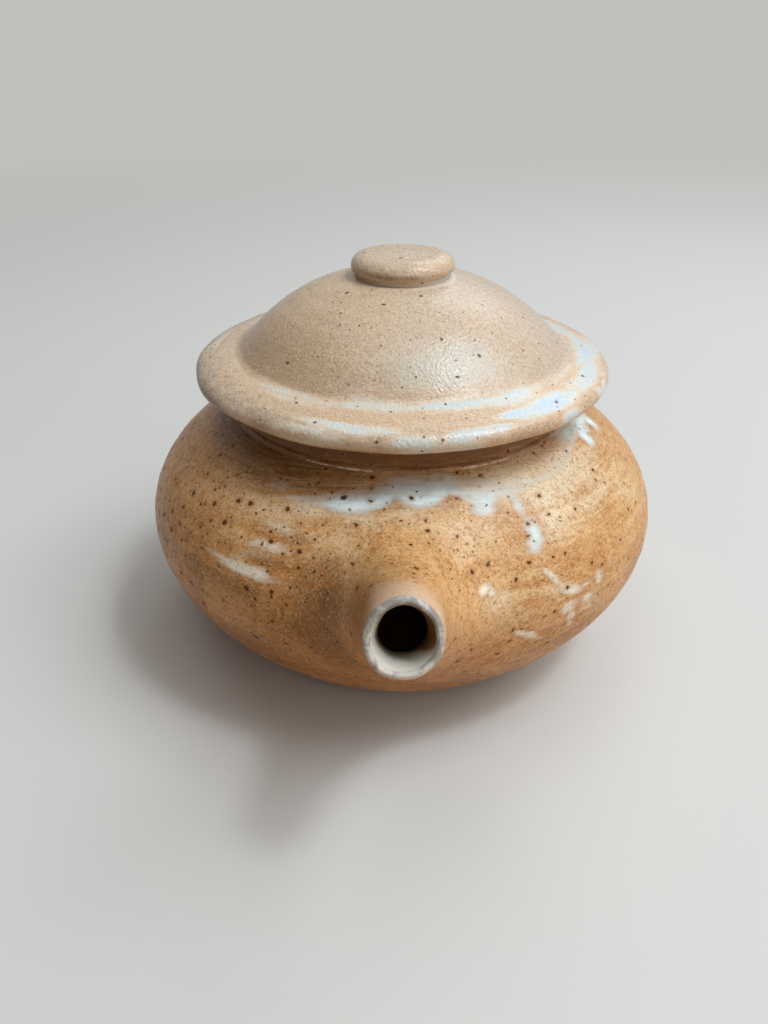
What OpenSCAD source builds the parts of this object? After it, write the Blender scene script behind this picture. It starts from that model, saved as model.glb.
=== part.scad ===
// Stoneware teapot: a wheel-thrown pot with a collared neck, a short upturned spout at the front,
// a pulled strap handle at the back and a lift-off domed lid with a wide brim and a flat knob.
// Millimetres, +Z up, the spout points along -Y. The origin is the centre of the foot, on the table.

/* [Pot] */
// Radius of the widest circle of the belly
belly_r = 88; // [78:1:105]
// Height of the widest circle above the table
belly_z = 48.7; // [43:0.1:55]
// Height from the widest circle to where the shoulder curve would reach the axis
shoulder_rise = 47; // [42:0.5:56]
// Leanness of the shoulder curve, where 0.5 is an ellipse
shoulder_lean = 0.49; // [0.4:0.01:0.6]
// Depth from the widest circle to where the under curve would reach the axis
under_drop = 105; // [85:0.5:130]
// Leanness of the under curve, where 0.5 is an ellipse
under_lean = 2; // [1.4:0.05:2.6]
// Thickness of the thrown wall
pot_wall = 5.5; // [4:0.5:7.5]
// Thickness of the floor
pot_floor = 7; // [5:0.5:10]

/* [Neck] */
// Outer radius of the neck
neck_r = 55; // [47:0.5:60]
// Height of the neck from the shoulder to its rim
neck_h = 13.6; // [10:0.1:20]
// Thickness of the neck
neck_wall = 5; // [4:0.5:7]
// Rounding of the two edges of the rim
rim_round = 1.2; // [0.6:0.1:1.8]
// Radius of the bead around the bottom of the neck
neck_bead_r = 1.4; // [0.8:0.1:2.2]

/* [Foot ring] */
// Height of the turned foot ring
foot_h = 3; // [2:0.5:5]
// Width of the foot ring
foot_w = 7; // [4:0.5:12]
// Distance of the foot ring from the edge of the pot's base
foot_inset = 4.5; // [2:0.5:8]
// Chamfer on the lower edges of the foot ring
foot_chamfer = 0.8; // [0.4:0.1:1.5]

/* [Spout] */
// Height of the spout's axis above the widest circle, where it meets the belly
spout_root_rise = 9; // [5:0.5:14]
// Length of the spout along its axis, from the belly to the lip
spout_l = 46; // [40:0.5:56]
// Tilt of the spout's axis above the horizontal, in degrees
spout_tilt = 31; // [25:1:40]
// Outer radius at the lip
spout_lip_r = 9.1; // [8.5:0.1:12]
// Rounding of the lip's outer edge
spout_lip_round = 1; // [0.5:0.1:1.2]
// Widening of the tube just behind the lip, in degrees
spout_taper = 7; // [2:1:12]
// Half the width of the blended root on the belly
spout_root_w = 23; // [20:0.5:30]
// Reach of the blended root up the shoulder
spout_root_up = 17; // [15:0.5:22]
// Reach of the blended root down the belly
spout_root_down = 23; // [19:0.5:28]
// Angle at which the blended root runs into the belly, in degrees
spout_root_graze = 18; // [12:1:30]
// Inner radius at the lip
mouth_r = 7.3; // [6.6:0.1:7.6]
// Depth of the funnel from the lip to the throat
mouth_depth = 12; // [8:0.5:16]
// Radius of the throat
throat_r = 5.9; // [4.5:0.1:6.4]
// Length of the throat
throat_l = 8; // [5:0.5:12]
// Radius of the hole through the belly behind the spout
spout_hole_r = 11; // [8:0.5:13]

/* [Handle] */
// Height above the widest circle where the handle leaves the shoulder
handle_top_rise = 25; // [18:0.5:30]
// Depth below the widest circle where the handle comes back to the belly
handle_low_drop = 18; // [10:0.5:25]
// How far the upper bend is drawn out from the belly
handle_out_top = 42; // [34:0.5:54]
// How far the lower bend is drawn out from the belly
handle_out_low = 80; // [66:0.5:96]
// How far the upper bend is drawn up
handle_lift = 36; // [26:0.5:40]
// How far the lower bend is drawn up
handle_sag = 15; // [8:0.5:22]
// Width of the strap
handle_w = 21; // [16:0.5:26]
// Thickness of the strap
handle_t = 9; // [7:0.5:11]
// Share by which the strap widens where it is pressed on to the pot
handle_flare = 0.45; // [0.2:0.05:0.7]

/* [Lid] */
// How far the brim overhangs the neck
brim_overhang = 13.4; // [8:0.1:18]
// Thickness of the lid over the rim, from its seat to the crease at the foot of the dome
brim_t = 5.9; // [4.5:0.1:8]
// Thickness of the brim's rounded edge
brim_edge_t = 6.2; // [4:0.1:7]
// How far the brim's top falls from the crease to the edge
brim_droop = 3; // [1:0.1:5]
// Distance from the crease to the edge of the brim
brim_w = 15; // [10:0.5:18]
// Height of the dome from the crease to where its curve would reach the axis
dome_rise = 22.7; // [18:0.1:32]
// Fullness of the dome, where 2 is a parabola
dome_full = 2.7; // [2:0.1:3.5]
// Thickness of the dome under the knob
dome_wall = 6; // [5:0.5:8]
// Fullness of the hollow inside the dome, where 2 is a parabola
hollow_full = 5; // [3:0.1:6]
// Gap between the lid's locating ring and the inside of the neck
lid_clearance = 1; // [0.6:0.1:2]
// Thickness of the locating ring
flange_t = 4; // [3:0.5:5.5]
// Depth of the locating ring below the seat
flange_h = 10; // [6:0.5:14]
// Chamfer on the lower edges of the locating ring
flange_chamfer = 0.8; // [0.4:0.1:1.2]
// Diameter of the steam hole at the back of the dome
vent_d = 4; // [2:0.5:5]
// Distance of the steam hole from the axis
vent_r = 31; // [26:0.5:36]

/* [Knob] */
// Largest radius of the knob
knob_r = 16.5; // [13:0.1:20]
// Radius of the knob's waist
knob_waist_r = 15; // [11:0.1:18]
// Height of the straight waist
knob_waist_h = 0.5; // [0.2:0.1:1.2]
// Height of the undercut between the waist and the widest circle
knob_under_h = 1.9; // [1:0.1:3]
// Height of the rounded upper edge above the widest circle
knob_edge_h = 3.9; // [2:0.1:6]
// Width of the rounded upper edge
knob_edge_w = 5; // [3:0.1:7]
// Crown of the knob's top
knob_crown = 0.4; // [0.1:0.1:1.5]
// Radius of the flat land on the dome that the knob stands on
knob_land_r = 16.6; // [15:0.1:22]

/* [Hidden] */
$fn = 96;

// Steps in each thrown curve, and in a small rounding
curve_steps = 22;
round_steps = 6;
// Rings along the spout's skin and points around it
spout_rings = 14;
spout_sides = 40;
// Share of a rib's length over which each of its ends keeps its direction
spout_pull = 0.42;
// Share of the blended root's reach past its edge that gives a rib's direction there
root_step = 0.02;
// Rings along the handle, points around it, and the fullness of its section
handle_rings = 26;
handle_sides = 24;
handle_full = 2.4;
// Share of the handle's length over which each end widens
handle_flare_span = 0.28;
// How far pieces that are trimmed to the pot reach into it before the trim
trim_depth = 8;
// How far a cutter reaches past the face that it cuts
cut_over = 1;

clay = "#c28a52";
lid_clay = "#c8a27a";
bare = "#b98f6a";

// A thrown curve from [r, 0] towards [0, h], up to one of its own angles
function belly_curve(r, h, lean, to) = [
    for (i = [0:curve_steps])
        let (a = to * i / curve_steps)
        [r * pow(cos(a), 2 * lean), h * sin(a)]
];
// The curve's radius at a height, its height at a radius, and its own angle at each
function radius_at_h(r, h, lean, at) = r * pow(1 - pow(at / h, 2), lean);
function height_at_r(r, h, lean, at) = h * sqrt(1 - pow(at / r, 1 / lean));
function angle_at_h(h, at) = asin(at / h);
function angle_at_r(r, lean, at) = acos(pow(at / r, 0.5 / lean));
// A domed curve from [r, 0] up to its height at an inner radius
function cap_height(r, h, full, at) = h * (1 - pow(at / r, full));
function cap_curve(r, h, full, inner) = [
    for (i = [0:curve_steps])
        let (at = r + (inner - r) * i / curve_steps)
        [at, cap_height(r, h, full, at)]
];
// Points along a circular arc
function arc(c, r, from, to) = [
    for (i = [0:round_steps])
        let (a = from + (to - from) * i / round_steps)
        [c[0] + r * cos(a), c[1] + r * sin(a)]
];
function raised(points, z) = [for (p = points) [p[0], z + p[1]]];
function sunk(points, z) = [for (p = points) [p[0], z - p[1]]];
function turned_round(points) = [for (i = [len(points) - 1:-1:0]) points[i]];
function without_first(points) = [for (i = [1:len(points) - 1]) points[i]];
function unit(v) = v / norm(v);

// Heights and radii of the pot
base_r = radius_at_h(belly_r, under_drop, under_lean, belly_z - foot_h);
foot_r = base_r - foot_inset;
floor_z = foot_h + pot_floor;
neck_z = belly_z + height_at_r(belly_r, shoulder_rise, shoulder_lean, neck_r);
rim_z = neck_z + neck_h;
neck_in_r = neck_r - neck_wall;
in_r = belly_r - pot_wall;
in_rise = shoulder_rise - pot_wall;
in_drop = under_drop - pot_wall;
function belly_r_at(z) = z >= belly_z
    ? radius_at_h(belly_r, shoulder_rise, shoulder_lean, z - belly_z)
    : radius_at_h(belly_r, under_drop, under_lean, belly_z - z);

// Heights and radii of the lid, which rests on the rim
seat_z = rim_z;
brim_r = neck_r + brim_overhang;
dome_r = brim_r - brim_w;
dome_z = seat_z + brim_t;
brim_edge_r = brim_edge_t / 2;
brim_edge_c = [brim_r - brim_edge_r, dome_z - brim_droop - brim_edge_r];
brim_slope = atan(brim_droop / (brim_w - brim_edge_r));
seat_out_r = neck_r + brim_edge_r;
flange_r = neck_in_r - lid_clearance;
hollow_r = flange_r - flange_t;
knob_z = dome_z + cap_height(dome_r, dome_rise, dome_full, knob_land_r);
hollow_rise = knob_z - dome_wall - seat_z;

// The outer curve of the belly, from the base up to the neck
outer_curve = concat(
    sunk(turned_round(belly_curve(belly_r, under_drop, under_lean,
        angle_at_h(under_drop, belly_z - foot_h))), belly_z),
    raised(without_first(belly_curve(belly_r, shoulder_rise, shoulder_lean,
        angle_at_r(belly_r, shoulder_lean, neck_r))), belly_z)
);
// The inner curve of the belly, from the neck down to the floor
inner_curve = concat(
    raised(turned_round(belly_curve(in_r, in_rise, shoulder_lean,
        angle_at_r(in_r, shoulder_lean, neck_in_r))), belly_z),
    sunk(without_first(belly_curve(in_r, in_drop, under_lean,
        angle_at_h(in_drop, belly_z - floor_z))), belly_z)
);

// The whole outside of the belly as a solid, used to trim what is luted on to it
module belly_solid() {
    rotate_extrude()
        polygon(concat([[0, foot_h]], outer_curve, [[0, neck_z]]));
}

module pot_section() {
    rim_top = concat(
        arc([neck_r - rim_round, rim_z - rim_round], rim_round, 0, 90),
        arc([neck_in_r + rim_round, rim_z - rim_round], rim_round, 90, 180)
    );
    polygon(concat([[0, foot_h]], outer_curve, rim_top, inner_curve, [[0, floor_z]]));
    translate([neck_r, neck_z + neck_bead_r / 2])
        circle(r = neck_bead_r);
}

module pot_body() {
    color(clay)
        difference() {
            rotate_extrude()
                pot_section();
            spout_passage();
        }
}

module foot_ring() {
    foot_in_r = foot_r - foot_w;
    color(bare)
        rotate_extrude()
            polygon([
                [foot_in_r, foot_h],
                [foot_in_r, foot_chamfer],
                [foot_in_r + foot_chamfer, 0],
                [foot_r - foot_chamfer, 0],
                [foot_r, foot_chamfer],
                [foot_r, foot_h]
            ]);
}

// The spout's axis, its root on the belly and the centre of its lip
spout_root_z = belly_z + spout_root_rise;
spout_dir = [0, -cos(spout_tilt), sin(spout_tilt)];
spout_up = [0, sin(spout_tilt), cos(spout_tilt)];
spout_root = [0, -belly_r_at(spout_root_z), spout_root_z];
spout_tip = spout_root + spout_l * spout_dir;

// The passage: a funnel at the lip, a straight throat, a widening tube and the hole in the belly
module spout_passage() {
    tube_end = spout_l - pot_wall / 2;
    passage_end = spout_l + 3 * pot_wall;
    translate(spout_tip)
        rotate([90 - spout_tilt, 0, 0])
            rotate_extrude()
                polygon([
                    [0, cut_over],
                    [0, -passage_end],
                    [spout_hole_r, -passage_end],
                    [spout_hole_r, -tube_end],
                    [throat_r, -mouth_depth - throat_l],
                    [throat_r, -mouth_depth],
                    [mouth_r, 0],
                    [mouth_r, cut_over]
                ]);
}

// A point on the belly at an angle round the spout's root, with share 1 on the edge of the blend
function root_point(a, share) =
    let (reach = cos(a) > 0 ? spout_root_up : spout_root_down)
    let (z = spout_root_z + share * reach * cos(a))
    let (turn = share * spout_root_w * sin(a) / belly_r * 180 / PI)
    belly_r_at(z) * [sin(turn), -cos(turn), 0] + [0, 0, z];
function root_normal(a) =
    let (p = root_point(a, 1))
    unit([p[0], p[1], p[2] - belly_z]);

function bezier(p, t) =
    pow(1 - t, 3) * p[0] + 3 * t * pow(1 - t, 2) * p[1] + 3 * t * t * (1 - t) * p[2] + pow(t, 3) * p[3];

// One rib of the spout's skin, from the lip's face to below the belly's surface
function spout_rib(a) =
    let (out = cos(a) * spout_up + sin(a) * [1, 0, 0])
    let (face = spout_tip + (spout_lip_r - spout_lip_round) * out)
    let (lip = spout_tip + spout_lip_r * out - spout_lip_round * spout_dir)
    let (root = root_point(a, 1))
    let (along = unit(root_point(a, 1 + root_step) - root))
    let (run_in = cos(spout_root_graze) * along - sin(spout_root_graze) * root_normal(a))
    let (pull = spout_pull * norm(root - lip))
    let (back = sin(spout_taper) * out - cos(spout_taper) * spout_dir)
    let (ends = [lip, lip + pull * back, root - pull * run_in, root])
    concat(
        [face],
        [for (i = [0:spout_rings]) bezier(ends, i / spout_rings)],
        [root + trim_depth * run_in]
    );

// Faces of a closed skin made of rings of equal length, each one after the last
function skin_faces(rings, sides) = concat(
    [[for (j = [0:sides - 1]) j]],
    [
        for (i = [0:rings - 2])
            for (j = [0:sides - 1])
                let (k = (j + 1) % sides)
                let (a = i * sides)
                let (b = a + sides)
                each [[a + j, b + j, a + k], [a + k, b + j, b + k]]
    ]
);

module spout_skin() {
    ribs = [for (j = [0:spout_sides - 1]) spout_rib(-360 * j / spout_sides)];
    rings = len(ribs[0]);
    points = [for (i = [0:rings - 1]) for (j = [0:spout_sides - 1]) ribs[j][i]];
    heart = spout_root + [0, 2 * trim_depth, 0];
    last = (rings - 1) * spout_sides;
    polyhedron(
        points = concat(points, [heart]),
        faces = concat(
            skin_faces(rings, spout_sides),
            [for (j = [0:spout_sides - 1]) [last + j, len(points), last + (j + 1) % spout_sides]]
        )
    );
}

module spout() {
    color(clay)
        difference() {
            spout_skin();
            belly_solid();
            spout_passage();
        }
}

// The handle's middle line, from the shoulder out and round to the belly
handle_top_z = belly_z + handle_top_rise;
handle_low_z = belly_z - handle_low_drop;
handle_top_y = belly_r_at(handle_top_z);
handle_low_y = belly_r_at(handle_low_z);
handle_ends = [
    [0, handle_top_y - trim_depth, handle_top_z - trim_depth / 2],
    [0, handle_top_y + handle_out_top, handle_top_z + handle_lift],
    [0, handle_low_y + handle_out_low, handle_low_z + handle_sag],
    [0, handle_low_y - trim_depth, handle_low_z]
];
function handle_run(t) =
    let (p = handle_ends)
    unit(pow(1 - t, 2) * (p[1] - p[0]) + 2 * t * (1 - t) * (p[2] - p[1]) + t * t * (p[3] - p[2]));
function handle_swell(t) =
    let (near = min(t, 1 - t) / handle_flare_span)
    1 + handle_flare * pow(max(0, 1 - near), 2);
function signed_pow(v, p) = sign(v) * pow(abs(v), p);
function handle_ring(t) =
    let (run = handle_run(t))
    let (out = [0, run[2], -run[1]])
    let (swell = handle_swell(t))
    [
        for (j = [0:handle_sides - 1])
            let (a = 360 * j / handle_sides)
            bezier(handle_ends, t)
                + swell * handle_w / 2 * signed_pow(cos(a), 2 / handle_full) * [1, 0, 0]
                + swell * handle_t / 2 * signed_pow(sin(a), 2 / handle_full) * out
    ];

module handle() {
    rings = [for (i = [0:handle_rings]) handle_ring(i / handle_rings)];
    count = len(rings);
    last = (count - 1) * handle_sides;
    color(clay)
        difference() {
            polyhedron(
                points = [for (ring = rings) each ring],
                faces = concat(
                    skin_faces(count, handle_sides),
                    [[for (j = [handle_sides - 1:-1:0]) last + j]]
                )
            );
            belly_solid();
        }
}

// Height of the dome's outside at a distance from the axis
function dome_z_at(r) = dome_z + cap_height(dome_r, dome_rise, dome_full, r);

module lid_section() {
    hollow = raised(turned_round(cap_curve(hollow_r, hollow_rise, hollow_full, 0)), seat_z);
    edge = arc(brim_edge_c, brim_edge_r, -90 - brim_slope, 90 - brim_slope);
    dome = raised(cap_curve(dome_r, dome_rise, dome_full, knob_land_r), dome_z);
    polygon(concat(hollow, [[seat_out_r, seat_z]], edge, dome, [[0, knob_z]]));
}

module lid() {
    vent_step = vent_d / 2;
    vent_lean = atan((dome_z_at(vent_r - vent_step) - dome_z_at(vent_r + vent_step)) / vent_d);
    vent_depth = 3 * dome_wall;
    color(lid_clay)
        difference() {
            rotate_extrude()
                lid_section();
            translate([0, vent_r, dome_z_at(vent_r)])
                rotate([-vent_lean, 0, 0])
                    translate([0, 0, -vent_depth])
                        cylinder(d = vent_d, h = vent_depth + dome_wall);
        }
}

module lid_flange() {
    low_z = seat_z - flange_h;
    color(bare)
        rotate_extrude()
            polygon([
                [hollow_r, seat_z],
                [hollow_r, low_z + flange_chamfer],
                [hollow_r + flange_chamfer, low_z],
                [flange_r - flange_chamfer, low_z],
                [flange_r, low_z + flange_chamfer],
                [flange_r, seat_z]
            ]);
}

module lid_knob() {
    wide_z = knob_z + knob_waist_h + knob_under_h;
    under_w = knob_r - knob_waist_r;
    under = [
        for (i = [0:round_steps])
            let (a = -90 + 90 * i / round_steps)
            [knob_waist_r + under_w * cos(a), wide_z + knob_under_h * sin(a)]
    ];
    top = [
        for (i = [1:round_steps])
            let (a = 90 * i / round_steps)
            [knob_r - knob_edge_w * (1 - cos(a)), wide_z + knob_edge_h * sin(a)]
    ];
    color(lid_clay)
        rotate_extrude()
            polygon(concat(
                [[0, knob_z], [knob_waist_r, knob_z]],
                under,
                top,
                [[0, wide_z + knob_edge_h + knob_crown]]
            ));
}

pot_body();
foot_ring();
spout();
handle();
lid();
lid_flange();
lid_knob();
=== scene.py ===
import math

import bmesh
import bpy
import numpy as np
from mathutils import Matrix, Vector


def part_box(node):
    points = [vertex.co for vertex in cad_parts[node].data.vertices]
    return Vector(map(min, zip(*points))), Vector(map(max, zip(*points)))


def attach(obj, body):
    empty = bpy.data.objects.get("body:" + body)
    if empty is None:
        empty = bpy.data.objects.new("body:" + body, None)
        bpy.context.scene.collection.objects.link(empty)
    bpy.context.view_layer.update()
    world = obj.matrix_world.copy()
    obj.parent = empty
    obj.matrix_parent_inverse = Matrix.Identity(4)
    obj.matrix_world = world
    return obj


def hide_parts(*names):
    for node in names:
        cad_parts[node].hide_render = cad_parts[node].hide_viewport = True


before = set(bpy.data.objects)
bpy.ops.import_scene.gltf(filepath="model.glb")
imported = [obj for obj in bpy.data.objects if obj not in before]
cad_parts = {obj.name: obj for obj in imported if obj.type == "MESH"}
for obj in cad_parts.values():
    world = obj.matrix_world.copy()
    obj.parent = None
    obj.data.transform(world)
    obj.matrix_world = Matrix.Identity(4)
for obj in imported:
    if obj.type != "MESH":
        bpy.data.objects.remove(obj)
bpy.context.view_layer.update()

MM = 0.001
TINY = 1e-6

# Sizes of the pot, in millimetres, in the frame's axes: spout along -Y, handle along +Y
BELLY_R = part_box("pot_body")[1].x / MM
RIM_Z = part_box("pot_body")[1].z / MM
BASE_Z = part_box("pot_body")[0].z / MM
BELLY_Z = 48.7
SHOULDER_RISE = 47.0
SHOULDER_LEAN = 0.49
UNDER_DROP = 105.0
UNDER_LEAN = 2.0
POT_WALL = 5.5
POT_FLOOR = 7.0
NECK_R = 55.0
NECK_WALL = 5.0
NECK_H = 13.6
BEAD_R = 1.4
NECK_Z = RIM_Z - NECK_H
BEAD_Z = NECK_Z - 0.6
FLOOR_Z = BASE_Z + POT_FLOOR

# The spout
SPOUT_ROOT_Z = BELLY_Z + 9.0
SPOUT_L = 46.0
SPOUT_TILT = math.radians(31.0)
SPOUT_TAPER = math.radians(7.0)
SPOUT_PULL = 0.42
LIP_R = 9.1
LIP_ROUND = 1.0
ROOT_W = 23.0
ROOT_UP = 17.0
ROOT_DOWN = 23.0
ROOT_SPREAD = 1.38
ROOT_GRAZE = math.radians(2.5)
MOUTH_R = 7.3
MOUTH_DEPTH = 12.0
THROAT_R = 5.9
THROAT_L = 8.0
HOLE_R = 11.0
BORE_EASE = 0.4
BORE_CUT = (-30.0, 8.0)

# The handle
HANDLE_TOP_Z = BELLY_Z + 25.0
HANDLE_LOW_Z = BELLY_Z - 18.0
HANDLE_OUT = (42.0, 80.0)
HANDLE_LIFT = 36.0
HANDLE_SAG = 15.0
HANDLE_W = 21.0
HANDLE_T = 9.0
HANDLE_FLARE = 0.45
HANDLE_SPAN = 0.28
HANDLE_FULL = 2.4
HANDLE_SUNK = 8.0
HANDLE_BITE = 2.5
GROOVE = 0.55
PRESS = 3.0
PRESS_REACH = 12.0

# The lid
SEAT_Z = RIM_Z
BRIM_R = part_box("lid")[1].x / MM
BRIM_W = 15.0
BRIM_T = 5.9
BRIM_EDGE_R = 3.1
BRIM_DROOP = 3.0
DOME_R = BRIM_R - BRIM_W
DOME_Z = SEAT_Z + BRIM_T
DOME_RISE = 22.7
DOME_FULL = 2.7
DOME_WALL = 6.0
HOLLOW_R = 45.0
HOLLOW_FULL = 5.0
FLANGE_R = 49.0
FLANGE_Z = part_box("lid_flange")[0].z / MM
VENT_R = 31.0
VENT_D = 4.0
VENT_CUT = (-18.0, 6.0)
KNOB_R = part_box("lid_knob")[1].x / MM
KNOB_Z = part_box("lid_knob")[0].z / MM
KNOB_LIFT = 0.9
KNOB_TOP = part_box("lid_knob")[1].z / MM + KNOB_LIFT
KNOB_WAIST_R = 15.0
KNOB_SUNK = 0.4

# The foot
FOOT_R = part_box("foot_ring")[1].x / MM
FOOT_W = 7.0

# How far a ring that is pressed on to another piece runs into it
LAP = 0.6


# Profile curves
def clamp(v):
    return np.clip(v, 0, 1)


def hump(v, middle, reach):
    """1 at the middle, and next to nothing two reaches away."""
    return np.exp(-((v - middle) / reach) ** 2)


def belly_r(z, r=BELLY_R, rise=SHOULDER_RISE, drop=UNDER_DROP):
    up = np.clip((z - BELLY_Z) / rise, 0, 0.9999)
    down = np.clip((BELLY_Z - z) / drop, 0, 0.9999)
    return r * (1 - up ** 2) ** SHOULDER_LEAN * (1 - down ** 2) ** UNDER_LEAN


def dome_z(r):
    return DOME_Z + DOME_RISE * (1 - np.minimum(r / DOME_R, 1) ** DOME_FULL)


def smooth_max(a, b, k):
    h = clamp(0.5 + 0.5 * (a - b) / k)
    return b + (a - b) * h + k * h * (1 - h)


def resample(points, step):
    p = np.asarray(points, float)
    s = np.concatenate([[0], np.cumsum(np.hypot(*np.diff(p, axis=0).T))])
    at = np.linspace(0, s[-1], max(2, int(round(s[-1] / step)) + 1))
    return np.column_stack([np.interp(at, s, p[:, 0]), np.interp(at, s, p[:, 1])])


def softened(p, width):
    """Rounds a profile's corners, with its two ends kept."""
    reach = int(3 * width) + 1
    k = np.exp(-0.5 * (np.arange(-reach, reach + 1) / width) ** 2)
    k /= k.sum()
    first = 2 * p[0] - p[reach:0:-1]
    last = 2 * p[-1] - p[-2:-reach - 2:-1]
    q = np.vstack([first, p, last])
    out = np.column_stack([np.convolve(q[:, i], k, "valid") for i in (0, 1)])
    out[0], out[-1] = p[0], p[-1]
    return out


def arc_points(centre, r, start, end, steps=14):
    a = np.radians(np.linspace(start, end, steps + 1))
    return np.column_stack([centre[0] + r * np.cos(a), centre[1] + r * np.sin(a)])


# Meshes
def circle(sides):
    return np.linspace(0, 2 * math.pi, sides, endpoint=False)


def quads(rows, cols, wrap_rows=False):
    i = np.arange(rows if wrap_rows else rows - 1)
    j = np.arange(cols)
    a, b = np.meshgrid(i, j, indexing="ij")
    n, m = (a + 1) % rows, (b + 1) % cols
    f = np.stack([a * cols + b, a * cols + m, n * cols + m, n * cols + b], -1)
    return f.reshape(-1, 4).tolist()


def turned(profile, sides, shift=None):
    """A profile of (r, z) turned about Z. Its ends may lie on the axis, and otherwise it closes on itself.
    shift gives how far each point moves along the profile's normal, from (angle, r, z)."""
    p = np.asarray(profile, float)
    d = np.gradient(p, axis=0)
    n = np.column_stack([d[:, 1], -d[:, 0]])
    n /= np.maximum(np.hypot(n[:, 0], n[:, 1]), TINY)[:, None]
    a = circle(sides)[None, :]
    move = 0 if shift is None else shift(a, p[:, 0:1], p[:, 1:2])
    r = p[:, 0:1] + move * n[:, 0:1]
    z = p[:, 1:2] + move * n[:, 1:2] + 0 * a
    poles = [i for i in (0, len(p) - 1) if p[i, 0] < TINY]
    keep = [i for i in range(len(p)) if i not in poles]
    r, z = (r + 0 * a)[keep], z[keep]
    co = np.stack([r * np.sin(a), -r * np.cos(a), z], -1).reshape(-1, 3)
    rows = len(keep)
    faces = quads(rows, sides, wrap_rows=not poles)
    for i in poles:
        tip = len(co)
        co = np.vstack([co, [0, 0, p[i, 1]]])
        row = 0 if i == 0 else (rows - 1) * sides
        ring = [row + j for j in range(sides)]
        for j in range(sides):
            k = (j + 1) % sides
            faces.append([tip, ring[k], ring[j]] if i == 0 else [tip, ring[j], ring[k]])
    return co, faces


def linked(name, data):
    o = bpy.data.objects.new(name, data)
    bpy.context.scene.collection.objects.link(o)
    return o


def build(name, co, faces):
    """A piece from points in millimetres, with its faces turned outward."""
    mesh = bpy.data.meshes.new(name)
    mesh.from_pydata((np.asarray(co) * MM).tolist(), [], faces)
    mesh.validate()
    mesh.update()
    bm = bmesh.new()
    bm.from_mesh(mesh)
    bmesh.ops.recalc_face_normals(bm, faces=bm.faces)
    bm.to_mesh(mesh)
    bm.free()
    return linked(name, mesh)


def cut(o, co, faces):
    """Takes a closed cutter away from a piece."""
    cutter = build(o.name + "_cutter", co, faces)
    m = o.modifiers.new("cut", "BOOLEAN")
    m.operation = "DIFFERENCE"
    m.solver = "EXACT"
    m.object = cutter
    bpy.context.view_layer.update()
    done = bpy.data.meshes.new_from_object(o.evaluated_get(bpy.context.evaluated_depsgraph_get()))
    o.modifiers.clear()
    old = o.data
    o.data = done
    done.name = o.name
    bpy.data.meshes.remove(old)
    bpy.data.objects.remove(cutter)


def cut_bar(o, r, ends, place, sides):
    """Cuts a round hole along the Z axis of a place, from one end to the other."""
    co, faces = turned(np.array([[0, ends[0]], [r, ends[0]], [r, ends[1]], [0, ends[1]]]), sides)
    cut(o, np.array([place @ Vector(p) for p in co]), faces)


def places(o):
    """Each point's x, y and z, its angle from the front in degrees, and its distance from the axis."""
    co = np.zeros(len(o.data.vertices) * 3)
    o.data.vertices.foreach_get("co", co)
    x, y, z = (co.reshape(-1, 3) / MM).T
    return x, y, z, np.degrees(np.arctan2(x, -y)), np.hypot(x, y)


def paint(o, **fields):
    """Stores a value per point, from an array or one number, under each name."""
    for name, values in fields.items():
        at = o.data.attributes.new(name, "FLOAT", "POINT")
        at.data.foreach_set("value", np.full(len(at.data), values, np.float32))


# The turn in degrees from which an edge is shown sharp
SHARP_TURN = 38
LID_TURN = 45
SOFT_TURN = 60


def settle(o, material, body, node, sharp=SHARP_TURN):
    for f in o.data.polygons:
        f.use_smooth = True
    o.data.set_sharp_from_angle(angle=math.radians(sharp))
    o.data.materials.clear()
    o.data.materials.append(material)
    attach(o, body)
    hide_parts(node)


# Marks of the hand: out-of-round wobble and shallow throwing rings, both calm round the spout
WOBBLE = 0.3
RING_DEPTH = 0.09
RING_PITCHES = (6.3, 3.4)
RING_LEAN = 1.25
CALM_REACH = 40.0
FOOT_FADE = 8.0
NECK_FADE = 6.0


def spout_near(x, y, z):
    d = np.hypot(x, z - SPOUT_ROOT_Z)
    return hump(d, 0, CALM_REACH) * (y < 0)


def wobble(a, size):
    return size * (0.6 * np.sin(2 * a + 0.7) + 0.3 * np.sin(3 * a + 2.2) + 0.1 * np.sin(5 * a + 4.0))


def rings(a, s, size):
    slow = np.sin(2 * math.pi * s / RING_PITCHES[0] + a + 0.8 * np.sin(s / 17))
    fast = np.sin(2 * math.pi * s / RING_PITCHES[1] + 2 * a + 1.3)
    return size * (0.7 * slow + 0.3 * fast)


def skin_move(a, z):
    """How far the pot's outside stands off its true curve."""
    x, y = belly_r(z) * np.sin(a), -belly_r(z) * np.cos(a)
    calm = 1 - spout_near(x, y, z)
    fade = clamp((z - BASE_Z) / FOOT_FADE) * clamp((NECK_Z - z) / NECK_FADE)
    return fade * (wobble(a, WOBBLE) * calm + rings(a, RING_LEAN * z, RING_DEPTH) * calm)


# Pot: outside, neck with its bead, rim, inside, floor
RIM_ROUND = 1.2
SKIN_STEP = 0.4
NECK_STEP = 0.12
INNER_STEP = 0.6
POT_SIDES = 360


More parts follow.
